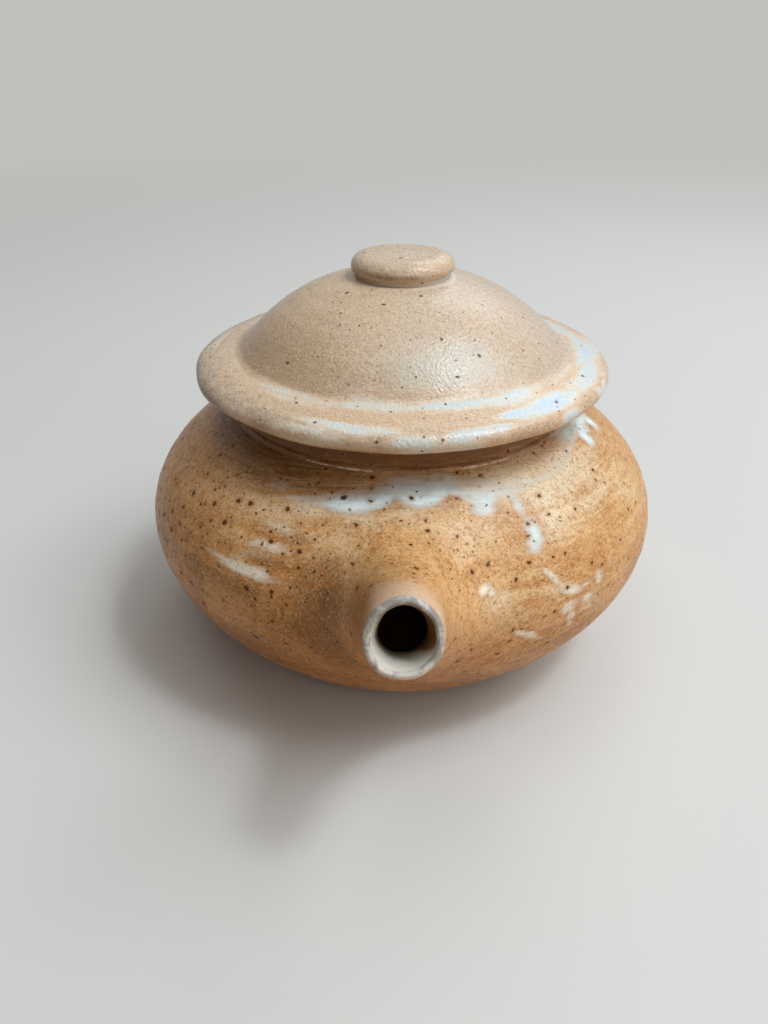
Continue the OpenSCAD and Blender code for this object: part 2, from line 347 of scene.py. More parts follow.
def pot_profile():
    turn_z = NECK_Z - 3
    z = np.concatenate([np.arange(BASE_Z, turn_z, SKIN_STEP), np.arange(turn_z, RIM_Z - 1.3, NECK_STEP)])
    bead = np.sqrt(np.maximum(BEAD_R ** 2 - (z - BEAD_Z) ** 2, 0))
    wall = np.column_stack([smooth_max(belly_r(z), NECK_R + bead, 0.5), z])
    base = np.column_stack([np.linspace(0, belly_r(BASE_Z) - 0.5, 20), np.full(20, BASE_Z)])
    rim = np.vstack([
        arc_points((NECK_R - RIM_ROUND, RIM_Z - RIM_ROUND), RIM_ROUND, 0, 90),
        arc_points((NECK_R - NECK_WALL + RIM_ROUND, RIM_Z - RIM_ROUND), RIM_ROUND, 90, 180),
    ])
    in_z = np.arange(RIM_Z - 2, FLOOR_Z, -INNER_STEP)
    shoulder = belly_r(in_z, BELLY_R - POT_WALL, SHOULDER_RISE - POT_WALL, UNDER_DROP - POT_WALL)
    throat = smooth_max(shoulder, np.full_like(in_z, NECK_R - NECK_WALL), 2)
    inside_r = np.where(in_z > BELLY_Z, throat, shoulder)
    inside = np.column_stack([inside_r, in_z])
    floor = np.column_stack([np.linspace(inside_r[-1] - 2, 0, 24), np.full(24, FLOOR_Z)])
    outer = softened(resample(np.vstack([base, wall, rim]), SKIN_STEP), width=1.0)
    inner = softened(resample(np.vstack([rim[-1:], inside, floor]), step=1.3), width=2.2)
    return outer, inner


def make_pot():
    outer, inner = pot_profile()
    profile = np.vstack([outer, inner[1:]])
    outside = np.arange(len(profile)) < len(outer)
    base_rows = (profile[:, 1] < BASE_Z + 0.2) | ~outside

    def shift(a, r, z):
        still = base_rows[:, None]
        inner_move = 0.35 * rings(a, RING_LEAN * z, 0.35) * (r > 8) * (z < NECK_Z)
        return np.where(still, np.where(outside[:, None], 0, inner_move), skin_move(a, z))

    return build("teapot_body", *turned(profile, POT_SIDES, shift))


# Spout
SPOUT_DIR = np.array([0, -math.cos(SPOUT_TILT), math.sin(SPOUT_TILT)])
SPOUT_UPWARD = np.array([0, math.sin(SPOUT_TILT), math.cos(SPOUT_TILT)])
SPOUT_ROOT = np.array([0, -float(belly_r(SPOUT_ROOT_Z)), SPOUT_ROOT_Z])
SPOUT_TIP = SPOUT_ROOT + SPOUT_L * SPOUT_DIR
ACROSS = np.array([1.0, 0, 0])
SPOUT_SIDES = 160
SPOUT_ROWS = 72
MOUTH_ROUND = 0.8
PASSAGE_SUNK = 2.2
ROOT_TUCK = 1.6
ROOT_SUNK = 0.25
ROOT_NUDGE = 0.02
BLUSH_REACH = 36.0
SHADE_REACH = 40.0


def root_point(a, share):
    rise = np.cos(a)
    reach = ROOT_DOWN + (ROOT_UP - ROOT_DOWN) * (0.5 + 0.5 * rise)
    z = SPOUT_ROOT_Z + share * reach * rise
    turn = share * ROOT_W * np.sin(a) / BELLY_R
    r = belly_r(z)
    return np.stack([r * np.sin(turn), -r * np.cos(turn), z], -1)


def marked(p, share):
    """Points near the pot's outside, moved by a share of what its skin moves there."""
    turn = np.arctan2(p[:, 0], -p[:, 1])
    move = share * skin_move(turn, p[:, 2])
    return p + np.stack([move * np.sin(turn), -move * np.cos(turn), 0 * move], -1)


def unit(v):
    return v / np.linalg.norm(v, axis=-1, keepdims=True)


def bezier(ends, t):
    w = [(1 - t) ** 3, 3 * t * (1 - t) ** 2, 3 * t * t * (1 - t), t ** 3]
    return sum(k * e for k, e in zip(w, ends))


def passage_start(out):
    """How far behind the tip the passage starts, on each side, so as to lie inside the pot's wall."""
    low, high = np.full(len(out), SPOUT_L - 12.0), np.full(len(out), SPOUT_L + 16.0)
    for _ in range(40):
        far = (low + high) / 2
        p = SPOUT_TIP + HOLE_R * out - far[:, None] * SPOUT_DIR
        deep = np.hypot(p[:, 0], p[:, 1]) < belly_r(p[:, 2]) - PASSAGE_SUNK
        low, high = np.where(deep, low, far), np.where(deep, far, high)
    return far[:, None]


def root_frame(a):
    """The skin's edge on the belly, the direction in which it runs out there, and the belly's normal."""
    root = root_point(a, ROOT_SPREAD)
    along = unit(root_point(a, ROOT_SPREAD + ROOT_NUDGE) - root)
    normal = unit(np.cross(along, root_point(a + ROOT_NUDGE, ROOT_SPREAD) - root))
    normal *= np.sign(np.sum(normal * [0, -1, 0], -1))[:, None]
    return root, math.cos(ROOT_GRAZE) * along - math.sin(ROOT_GRAZE) * normal, normal


def spout_marks(a, co, inner_rows):
    """What the glaze asks of each point: inside, nearness to the lip, depth in the mouth with painted shade
    on the right inner wall, blush, and painted shade on the left flank.
    """
    depth = -((co - SPOUT_TIP) @ SPOUT_DIR)
    inside = (np.arange(len(co)) < inner_rows)[:, None] + 0.0 * depth
    bottom = clamp(-np.cos(a))
    right = clamp(np.sin(a + 0.4)) ** 1.4
    left = clamp(-np.sin(a - 0.3))
    marks = {
        "inside": inside,
        "lip": clamp(1 - depth / np.where(inside > 0, 2.2, 2.8)),
        # Painted shade: darker deeper in the mouth and on its right inner wall
        "deep": clamp(depth / MOUTH_DEPTH * (1 - 0.5 * bottom) + 0.9 * right * inside),
        "blush": clamp(1 - depth / BLUSH_REACH) * (1 - inside) * (0.55 + 0.45 * np.cos(a - 0.4)),
        "shade": 0.95 * clamp(1.5 - depth / SHADE_REACH) * (1 - inside) * left,
    }
    return {name: values.reshape(-1) for name, values in marks.items()}


def make_spout():
    a = circle(SPOUT_SIDES)
    out = np.cos(a)[:, None] * SPOUT_UPWARD + np.sin(a)[:, None] * ACROSS
    uneven = 0.16 * np.sin(2 * a + 0.4) + 0.1 * np.sin(3 * a + 2) + 0.05 * np.sin(7 * a + 1)
    tilt = 0.22 * np.sin(a + 1.1) + 0.12 * np.sin(2 * a + 2.6) + 0.07 * np.sin(5 * a)
    tip = SPOUT_TIP + tilt[:, None] * SPOUT_DIR

    def ring(r, deep):
        return tip + (r + uneven[:, None]) * out - deep * SPOUT_DIR

    # Along the passage from the pot's wall to the mouth, and round the lip
    grid = [SPOUT_TIP + HOLE_R * out - passage_start(out) * SPOUT_DIR]
    tube = softened(resample([
        (HOLE_R, SPOUT_L - 5.0),
        (THROAT_R, MOUTH_DEPTH + THROAT_L),
        (THROAT_R, MOUTH_DEPTH),
        (MOUTH_R, 1.0),
    ], step=0.8), width=2.5)
    grid += [ring(r, deep) for r, deep in tube]
    inner_rows = len(grid)
    for t in np.radians(np.linspace(18, 90, 6)):
        grid.append(ring(MOUTH_R + MOUTH_ROUND * (1 - math.cos(t)), MOUTH_ROUND * (1 - math.sin(t))))
    for t in np.radians(np.linspace(90, 12, 7)):
        grid.append(ring(LIP_R - LIP_ROUND * (1 - math.cos(t)), LIP_ROUND * (1 - math.sin(t))))

    # Back along the outside, which takes on the pot's own marks where it runs out on the belly
    root, run_out, normal = root_frame(a)
    lip = ring(LIP_R, LIP_ROUND)
    pull = SPOUT_PULL * np.linalg.norm(root - lip, axis=-1, keepdims=True)
    back = math.sin(SPOUT_TAPER) * out - math.cos(SPOUT_TAPER) * SPOUT_DIR
    ends = [lip, lip + 0.9 * pull * back, root - 1.12 * pull * run_out, root]
    for t in np.linspace(0, 1, SPOUT_ROWS):
        late = min(max((t - 0.55) / 0.4, 0), 1)
        grid.append(marked(bezier(ends, t), late ** 2 * (3 - 2 * late)))
    grid.append(marked(root + ROOT_TUCK * run_out - ROOT_SUNK * normal, 1.0))
    co = np.array(grid)
    o = build("teapot_spout", co.reshape(-1, 3), quads(len(grid), SPOUT_SIDES, wrap_rows=True))
    return o, spout_marks(a, co, inner_rows)


# Handle
def make_handle():
    sides, rows = 56, 150
    top_y, low_y = float(belly_r(HANDLE_TOP_Z)), float(belly_r(HANDLE_LOW_Z))
    ends = np.array([
        [0, top_y - HANDLE_SUNK, HANDLE_TOP_Z - HANDLE_SUNK / 2],
        [0, top_y + HANDLE_OUT[0], HANDLE_TOP_Z + HANDLE_LIFT],
        [0, low_y + HANDLE_OUT[1], HANDLE_LOW_Z + HANDLE_SAG],
        [0, low_y - HANDLE_SUNK, HANDLE_LOW_Z],
    ])
    t = np.linspace(0, 1, rows)[:, None]
    mid = bezier(ends, t)
    legs = np.diff(ends, axis=0)
    run = unit((1 - t) ** 2 * legs[0] + 2 * t * (1 - t) * legs[1] + t * t * legs[2])
    out = np.stack([0 * run[:, 0], run[:, 2], -run[:, 1]], -1)
    near = np.minimum(t, 1 - t) / HANDLE_SPAN
    swell = 1 + HANDLE_FLARE * np.maximum(0, 1 - near) ** 2
    a = circle(sides)[None, :]
    c, s = np.cos(a), np.sin(a)
    wide = np.sign(c) * np.abs(c) ** (2 / HANDLE_FULL)
    thick = np.sign(s) * np.abs(s) ** (2 / HANDLE_FULL)
    pulled = 1 + 0.02 * np.sin(9 * t + 1) + 0.015 * np.sin(23 * t)
    half_w = swell * HANDLE_W / 2 * pulled
    half_t = swell * HANDLE_T / 2 * (2 - pulled)
    # Two shallow finger grooves run along the outer face of a pulled strap
    groove = GROOVE * hump(np.abs(c), 0.42, 0.2) * (s < 0) * clamp(near)
    flat = half_t * thick + groove
    co = mid[:, None, :] + (half_w * wide)[..., None] * ACROSS + flat[..., None] * out[:, None, :]
    # The ends spread where they are pressed on to the pot, and stop inside its wall
    r = np.hypot(co[..., 0], co[..., 1])
    off = r - belly_r(co[..., 2])
    press = PRESS * clamp(1 - off / PRESS_REACH) ** 2.4
    away = co - mid[:, None, :]
    co = co + press[..., None] * unit(away)
    r = np.hypot(co[..., 0], co[..., 1])
    least = belly_r(co[..., 2]) - HANDLE_BITE
    grow = np.maximum(r, least) / r
    co[..., 0] *= grow
    co[..., 1] *= grow
    faces = quads(rows, sides)
    points = np.vstack([co.reshape(-1, 3), co[0].mean(0), co[-1].mean(0)])
    first, last = rows * sides, rows * sides + 1
    for j in range(sides):
        k = (j + 1) % sides
        faces.append([first, k, j])
        faces.append([last, (rows - 1) * sides + j, (rows - 1) * sides + k])
    return build("teapot_handle", points, faces)


# Lid
def make_lid():
    r = np.linspace(0, HOLLOW_R, 60)
    roof = KNOB_Z - DOME_WALL - SEAT_Z
    hollow = np.column_stack([r, SEAT_Z + roof * (1 - (r / HOLLOW_R) ** HOLLOW_FULL)])
    slope = math.degrees(math.atan(BRIM_DROOP / (BRIM_W - BRIM_EDGE_R)))
    centre = (BRIM_R - BRIM_EDGE_R, DOME_Z - BRIM_DROOP - BRIM_EDGE_R)
    edge = arc_points(centre, BRIM_EDGE_R, -90 - slope, 90 - slope, 24)
    rd = np.linspace(DOME_R, 0, 120)
    dome = np.column_stack([rd, np.minimum(dome_z(rd), KNOB_Z + 0.2 + 0 * rd)])
    inner = np.vstack([hollow, [[NECK_R + BRIM_EDGE_R, SEAT_Z]], edge[:1]])
    under = softened(resample(inner, step=1.0), width=0.8)
    over = softened(resample(np.vstack([edge, dome]), step=0.4), width=2.2)
    profile = np.vstack([under, over[1:]])
    top = np.arange(len(profile)) >= len(under)

    def shift(a, r, z):
        brim = clamp((r - DOME_R) / BRIM_W)
        hand = wobble(a + 0.9, 0.34) * brim + rings(a, r, 0.05) * clamp((r - 18) / 10)
        dents = 0.1 * np.sin(11 * a + 0.5) * brim ** 3 + 0.08 * np.sin(17 * a + 2) * brim ** 3
        return np.where(top[:, None], hand + dents, 0)

    o = build("teapot_lid", *turned(profile, POT_SIDES, shift))
    half = VENT_D / 2
    lean = math.atan(float(dome_z(VENT_R - half) - dome_z(VENT_R + half)) / VENT_D)
    place = Matrix.Translation((0, VENT_R, float(dome_z(VENT_R)))) @ Matrix.Rotation(-lean, 4, "X")
    cut_bar(o, half, VENT_CUT, place, sides=40)
    return o


def ring_profile(in_r, out_r, low, high, step):
    """A plain ring's outline, with its corners rounded."""
    corners = [(in_r, high), (in_r, low), (out_r, low), (out_r, high), (in_r, high)]
    return softened(resample(corners, step), width=1.8)[:-1]


def make_flange():
    ring = ring_profile(HOLLOW_R, FLANGE_R, FLANGE_Z, SEAT_Z + LAP, step=0.35)

    def shift(a, r, z):
        return wobble(a, 0.12) * (z < SEAT_Z - 2)

    return build("teapot_lid_flange", *turned(ring, sides=200, shift=shift))


def make_knob():
    edge_w, edge_h, under_h, flat = 5.0, 3.9, 1.9, 0.4
    wide_z = KNOB_TOP - flat - edge_h
    a = np.radians(np.linspace(-90, 0, 12))
    under_r = KNOB_WAIST_R + (KNOB_R - KNOB_WAIST_R) * np.cos(a)
    under = np.column_stack([under_r, wide_z + under_h * np.sin(a)])
    a = np.radians(np.linspace(0, 90, 20))
    top = np.column_stack([KNOB_R - edge_w * (1 - np.cos(a)), wide_z + edge_h * np.sin(a)])
    base_z = KNOB_Z - KNOB_SUNK
    points = np.vstack([[[0, base_z], [KNOB_WAIST_R, base_z]], under, top[1:], [[0, KNOB_TOP]]])
    profile = softened(resample(points, step=0.3), width=1.5)
    profile[:, 1] = np.minimum(profile[:, 1], KNOB_TOP)

    def shift(a, r, z):
        body = clamp((z - KNOB_Z - 1) / 2) * clamp(r / 8)
        dents = 0.05 * np.sin(9 * a) * (r > KNOB_R - 4)
        return body * (wobble(a + 2, 0.22) + dents) - 0.03 * body * np.cos(r * 1.4)

    return build("teapot_knob", *turned(profile, sides=240, shift=shift))


def make_foot():
    ring = ring_profile(FOOT_R - FOOT_W, FOOT_R, 0, BASE_Z + LAP, step=0.3)
    ring[:, 1] = np.maximum(ring[:, 1], 0)
    return build("teapot_foot", *turned(ring, sides=240))


# Glaze fields, as soft pools: angle from the front in degrees, height, half length,
# reach below and above along the surface in millimetres, slant in degrees, strength.
# White and ivory lie thick on the ochre, pale and mist lighten it, rust darkens it, and brown darkens it both
# as the glaze's own darker runs and as painted shade left of the spout and round the left side.
WHITE_POOLS = [
    (28.6, 77, 1.3, 3.4, 5, 6, 0.66), (29.2, 71.6, 1.8, 2.9, 4, 0, 0.94),
    (28.4, 69.4, 1.6, 1.8, 2.6, 0, 0.8), (19.8, 78.2, 2.6, 1.4, 4.6, 0, 0.85),
    (77, 82.9, 5.5, 1.5, 2.6, -14, 1.2), (80.4, 80.6, 1.7, 2.4, 3.2, -24, 1.15),
    (68.4, 80.8, 1.7, 2.2, 3.6, -16, 1.15), (72.4, 82.2, 2.4, 1.8, 2.8, -20, 1.1),
    (63, 83.8, 5.5, 2.2, 3, 0, 0.75), (118, 74, 10, 2.2, 5, 5, 0.95), (136, 62, 3.6, 8, 9, 10, 0.8),
    (158, 79, 14, 1.8, 5, 0, 1), (205, 77.5, 12, 2, 5, -6, 0.95), (226, 66, 3.4, 7, 8, 0, 0.8),
    (250, 71, 9, 1.6, 3, 12, 0.8),
]
IVORY_POOLS = [
    (15.2, 62.9, 1.4, 1, 1.2, 20, 1.05), (16.8, 61.5, 1, 0.8, 0.9, -10, 0.9),
    (30.4, 61, 3.2, 0.7, 0.8, -52, 0.8), (34.6, 55.4, 2.5, 1, 1.2, -10, 1.05),
    (38.4, 55.2, 2.4, 0.6, 0.7, 0, 0.8), (33.6, 50, 1.9, 1.2, 1.4, 0, 1.1),
    (34.6, 46, 1.2, 2.2, 2.6, 8, 0.95), (22.6, 46.8, 2.8, 0.6, 0.7, -40, 0.95),
    (25.2, 45, 2.8, 0.8, 0.9, -40, 1.1), (42.2, 54.4, 1.5, 1.2, 1.6, 0, 0.8),
    (38.6, 50.4, 1.5, 1, 1.2, 0, 0.85), (-31.6, 61.3, 7, 1, 1.4, 0, 1.2),
    (-39.6, 61.9, 6.6, 0.7, 1, 0, 0.85), (-27.6, 68.6, 5.6, 1.2, 1.7, 3, 0.66),
    (-27.6, 73, 5.4, 0.9, 1.3, 0, 0.5), (276, 58, 7, 1.2, 2, -8, 0.85), (100, 50, 5, 1.2, 1.8, 14, 0.85),
    (172, 46, 4, 1.4, 2.2, 0, 0.8), (128, 56, 2.2, 1.4, 2.4, 10, 0.9),
]
# The lower edge of the glaze that ran down from the neck: angle, height, strength, and the share of it
# that hazes the shoulder above
DRIP_LINE = [
    (-64, 83, 0, 0.2), (-42, 81, 0, 0.2), (-35, 79.8, 0.3, 0.2), (-26, 79, 0.38, 0.1),
    (-21, 79.2, 0.45, 0.2), (-17, 79.2, 1, 0.3), (-12.5, 79.2, 1.2, 0.35), (-9.2, 79.7, 1.15, 0.4),
    (-4.6, 80.7, 1, 0.5), (-1.7, 82.2, 0.75, 0.8), (0.9, 81.3, 1, 0.8), (4.7, 80.8, 1.15, 0.8),
    (8.6, 81.1, 1.1, 0.75), (12.3, 82.5, 0.8, 0.9), (15.6, 81, 0.7, 0.9), (17.6, 79.8, 0.75, 0.8),
    (19.6, 78.4, 0.9, 0.8), (21.6, 79.3, 0.78, 0.8), (24.5, 80.4, 0.55, 0.7), (34, 80.4, 0.42, 0.6),
    (44, 80.8, 0.3, 0.6), (58, 82.4, 0.4, 0.6), (68, 83, 0.65, 0.6), (84, 83.2, 0.7, 0.6),
    (96, 81, 0.3, 0.6), (112, 77, 0.9, 0.5), (122, 75.5, 1, 0.5), (132, 80, 0.6, 0.5), (150, 79, 0.9, 0.5),
    (163, 77.5, 1, 0.5), (176, 81.5, 0.6, 0.5), (194, 79, 0.9, 0.5), (206, 76.6, 1, 0.5),
    (216, 80.5, 0.7, 0.5), (236, 78, 0.8, 0.4), (252, 81, 0.4, 0.3), (270, 83, 0, 0.2), (296, 83, 0, 0.2),
]
PALE_POOLS = [
    (40, 73, 10, 6, 7, 0, 0.85), (10, 74.5, 12, 4, 5, -10, 0.6), (62, 76, 14, 6, 8, 0, 0.5),
    (26, 66, 8, 10, 9, -40, 0.45), (62, 66, 14, 9, 9, 0, 0.3), (-36, 66, 16, 5, 7, 0, 0.3),
    (-32, 75.8, 16, 4.5, 4, 0, 0.8), (-10, 73.5, 12, 4, 5, 8, 0.58), (31, 46, 10, 7, 7, -20, 0.45),
    (21, 55, 9, 9, 7, 0, 0.7), (28.5, 66, 5, 5, 4, 0, 0.65), (120, 66, 22, 10, 10, 0, 0.4),
    (235, 64, 24, 10, 10, 0, 0.4),
]
MIST_POOLS = [
    (4, 83.2, 18, 4, 5, 0, 0.6), (34, 81, 14, 5, 8, 0, 1.05), (45, 80, 14, 6, 9, 0, 1),
    (64, 79, 14, 7, 6, 0, 0.45), (180, 81, 60, 4, 6, 0, 0.65), (55, 73.6, 9, 3, 3.5, 8, 0.75),
    (-22.4, 78, 6.5, 1.9, 1.6, 0, 1), (-9.8, 77.6, 8, 2, 1.8, 0, 0.7), (0.5, 79.2, 6, 2, 1.6, 0, 0.65),
    (13, 79, 6, 2, 1.8, 0, 0.2), (18.5, 59.4, 4, 3, 3, 0, 0.65), (31.4, 57, 4.5, 3, 3, 0, 0.65),
    (36, 77.4, 5, 3, 2.8, 0, 1), (34.5, 73, 4.5, 4, 3.5, 0, 0.9), (49, 73, 6, 4, 4, 0, 0.6),
    (51, 82, 8, 3, 3, 0, 0.9), (63, 71, 9, 7, 7, 0, 0.6), (4, 69, 9, 9, 8, 0, 0.5),
    (39.5, 49, 4, 4, 3.5, 0, 0.65),
]
RUST_POOLS = [
    (-1.5, 81.4, 2.2, 2.4, 2.4, 0, 1.1), (12.2, 81.4, 2.4, 2.6, 2.4, 0, 1.1), (-45, 64, 22, 9, 9, 0, 0.6),
    (-22, 52, 12, 12, 12, 0, 0.75), (22, 52, 9, 6, 6, 0, 0.3), (44, 62, 13, 7, 7, 0, 0.5),
    (-34, 82, 14, 3, 3, 0, 0.85), (35, 34, 18, 12, 9, 0, 0.75), (-10, 26, 34, 12, 12, 0, 0.75),
    (62, 46, 16, 12, 12, 0, 0.6), (140, 50, 34, 14, 14, 0, 0.65), (210, 56, 30, 14, 14, 0, 0.65),
    (262, 46, 26, 12, 12, 0, 0.6), (-52, 44, 20, 9, 9, 0, 0.5), (-27.5, 65, 7, 1.6, 1.8, 0, 1.6),
    (-32, 71.2, 7, 1.4, 1.4, 0, 1.4), (-37, 65, 6, 2.5, 2.5, 0, 1),
]
# Brown pools: partly the glaze's own darker runs, partly painted shade left of the spout and round the left
# side
BROWN_POOLS = [
    (-15, 56, 8, 16, 12, 12, 1.1), (-70, 44, 22, 24, 14, 0, 0.6), (-38, 30, 34, 13, 12, 0, 0.75),
    (-48, 83, 26, 6, 5, 0, 1.1), (10, 20, 44, 9, 12, 0, 0.6), (170, 30, 50, 14, 14, 0, 0.5),
    (300, 36, 30, 16, 16, 0, 0.5), (-58, 60, 16, 12, 12, 0, 0.62), (-46, 56.5, 9, 5, 4, 0, 0.6),
    (-35, 57, 10, 5, 3, 0, 0.85), (-27.5, 65.2, 6, 1.5, 1.5, 0, 0.95), (-22.6, 72, 3, 1.7, 1.7, 0, 1),
    (-15.2, 68.6, 1.3, 1.2, 1.2, 0, 1.3), (-12.5, 62.2, 5, 7, 6, 10, 1.7), (-13.5, 68, 3.5, 4, 3.5, 0, 0.9),
]

# Where a highlight is painted along the ridge at the top of the shoulder: angle, half length in degrees
BARE_SPANS = [(-20, 15), (26, 12), (74, 12), (118, 9), (161, 14), (214, 10), (262, 16)]
STROKE_EDDY = 20.0
heights = np.linspace(0, NECK_Z, 800)
outline_r = belly_r(heights)
outline_s = np.concatenate([[0], np.cumsum(np.hypot(np.diff(outline_r), np.diff(heights)))])


def run_of(z):
    """Length along the pot's outline, up to a height."""
    return np.interp(z, heights, outline_s)


def turn_from(at, angle):
    """The signed way round from one angle to others, in degrees."""
    return (angle - at + 180) % 360 - 180


def pooled(pools, angle, z):
    total = np.zeros_like(z)
    s, r = run_of(z), belly_r(np.minimum(z, NECK_Z))
    for at, height, half_l, below, above, slant, strength in pools:
        u, v = np.radians(turn_from(at, angle)) * r, s - run_of(height)
        c, n = math.cos(math.radians(slant)), math.sin(math.radians(slant))
        p, q = u * c + v * n, -u * n + v * c
        q = q / np.where(q < 0, below, above)
        total = np.maximum(total, strength * np.exp(-0.45 * ((p / half_l) ** 2 + q ** 2) ** 0.9))
    return total


def dripped(angle, z):
    """Glaze that is thickest just above its lower edge and thins towards the neck."""
    at, *rest = np.array(DRIP_LINE).T
    turn = (angle - at[0]) % 360 + at[0]
    fine = np.arange(at[0], at[0] + 360, 0.25)
    blur = np.exp(-0.5 * (np.arange(-16, 17) * 0.25 / 0.6) ** 2)
    edge, strength, haze = [
        np.interp(turn, fine, np.convolve(np.interp(fine, at, v), blur / blur.sum(), "same")) for v in rest
    ]
    up = run_of(np.minimum(z, NECK_Z)) - run_of(edge)
    thick, thin = np.exp(-0.5 * (up / 2.2) ** 2), np.exp(-0.5 * (up / 7.5) ** 2)
    body = np.where(up < 0, np.exp(-0.5 * (up / 1.6) ** 2), (1 - haze) * thick + haze * thin)
    return strength * body * clamp((NECK_Z - z) / 1.4)


def brush_of(x, y, z):
    """Length across the strokes, which go round the pot and bow round the spout."""
    s = run_of(np.minimum(z, NECK_Z)) + np.maximum(z - NECK_Z, 0) - run_of(SPOUT_ROOT_Z)
    d = np.maximum(np.hypot(x, s), STROKE_EDDY)
    along = (np.stack([x, y, z], -1) - SPOUT_ROOT) @ SPOUT_DIR
    near = hump(d, STROKE_EDDY, 6) * (y < 0)
    return s * (1 - (STROKE_EDDY / d) ** 2 * (y < 0)) + 0.8 * near * np.maximum(along + 6, 0)


def glaze_pot(o, inside=None, lip=0.0, deep=0.0, blush=0.0, shade=0.0, rusty=0.0):
    x, y, z, angle, r = places(o)
    skin_r = belly_r(np.minimum(z, NECK_Z))
    inner = (r < skin_r - 1.5) & (z < NECK_Z) | (r < NECK_R - 1.6) & (z >= NECK_Z - 1)
    show = np.where(inner, 0.0, 1.0)
    if inside is not None:
        show = 1 - np.maximum(inside, clamp(lip * 1.5))
    show = show * clamp(1.3 - (r - skin_r) / 9)
    # Darker round the neck: dark glaze, with painted shade under the lid's brim, kept lighter on the right,
    # which faces the lamps
    clear = hump(angle, 40, 32) * clamp((NECK_Z + 0.5 - z) / 2.5)
    dark = hump(z, NECK_Z + 6, 8.5) * (z > NECK_Z - 10) * (1 - 0.95 * clear)
    # A painted highlight along the ridge at the top of the shoulder, in the listed spans
    ridge = hump(z, BEAD_Z + 0.3, 0.4) * (r > NECK_R + 0.2) * (r < NECK_R + 2)
    ridge = ridge * sum(np.exp(-(turn_from(at, angle) / half) ** 4) for at, half in BARE_SPANS)
    paint(
        o,
        white=np.maximum(pooled(WHITE_POOLS, angle, z), dripped(angle, z)) * show * (z < NECK_Z + 2),
        pale=pooled(PALE_POOLS, angle, z) * show,
        mist=pooled(MIST_POOLS, angle, z) * show,
        ivory=pooled(IVORY_POOLS, angle, z) * show,
        rust=np.maximum(pooled(RUST_POOLS, angle, z) * show, rusty),
        brown=np.maximum(pooled(BROWN_POOLS, angle, z) * show, shade),
        dark=dark * show,
        ridge=ridge,
        blush=blush,
        bare=np.where(inner, 0, clamp((BASE_Z + 7 - z) / 6)),
        inner=np.where(inner, 1.0, 0.0) if inside is None else inside,
        lip=lip,
        deep=deep,
        brush=brush_of(x, y, z) * MM,
    )


# The lid's tones: radii from which painted shade darkens the dome's left side and the rim turns ashen, and
# the middle of the pale film that is partly a painted highlight
TOAST_FROM = 26.0
RIM_FROM = 65.0
DEW_ANGLE = 16.0
DEW_R = 45.5
# Pools on the brim: angle, radius, half length, half width, slant, strength
BRIM_POOLS = [
    (-66, 55.4, 16, 1.6, 0, 0.45), (-34, 55.8, 18, 2.6, 0, 0.85), (-8, 55.2, 16, 2.6, 0, 0.8),
    (18, 55, 14, 3.2, 0, 1), (34, 56, 12, 3.6, 0, 1), (62, 57, 14, 2.2, 0, 0.62),
    (87, 60.3, 17, 4.6, 0, 1.12), (110, 57.5, 16, 3.8, 0, 1.05), (-14, 64.6, 15, 2, 2, 1.05),
    (15.6, 66.8, 9, 1.8, -3, 1.15), (23, 66.4, 5, 1.5, 0, 1), (42, 62.8, 11, 3.3, 2, 1.4),
    (31, 62.5, 6, 2.4, 0, 1.35), (50, 63.2, 6, 2.2, 0, 1.15), (67, 62.4, 16, 2.9, 0, 1.15),
    (94, 64, 10, 3.4, 0, 0.95), (4, 68.3, 9, 2.2, 0, 1.05), (-9, 68, 6, 1.6, 0, 0.62),
    (46, 68.4, 5, 1.3, 3, 1.25), (62.5, 68, 2.4, 1.3, 20, 1.1), (67, 67.6, 2.8, 0.8, -12, 1),
    (72, 66.2, 3.4, 1, 8, 0.9), (-46, 68.2, 14, 1.4, 0, 0.6), (-24, 68, 14, 1.8, 0, 0.78),
    (0, 60.5, 14, 2.4, 0, 0.42), (140, 62, 16, 3.2, 4, 0.9), (172, 57, 18, 2.6, 0, 0.9),
    (200, 64, 14, 2.6, -3, 0.85), (232, 57, 18, 2.4, 0, 0.85), (262, 63, 12, 2, 0, 0.75),
    (286, 56, 18, 1.6, 0, 0.5),
]


def brim_pooled(angle, r):
    total = np.zeros_like(r)
    for at, radius, half_l, half_w, slant, strength in BRIM_POOLS:
        u, v = np.radians(turn_from(at, angle)) * r, r - radius
        v = v - u * math.tan(math.radians(slant))
        far = ((u / half_l) ** 2 + (v / half_w) ** 2) ** 1.2
        total = np.maximum(total, strength * np.exp(-0.5 * far))
    return total


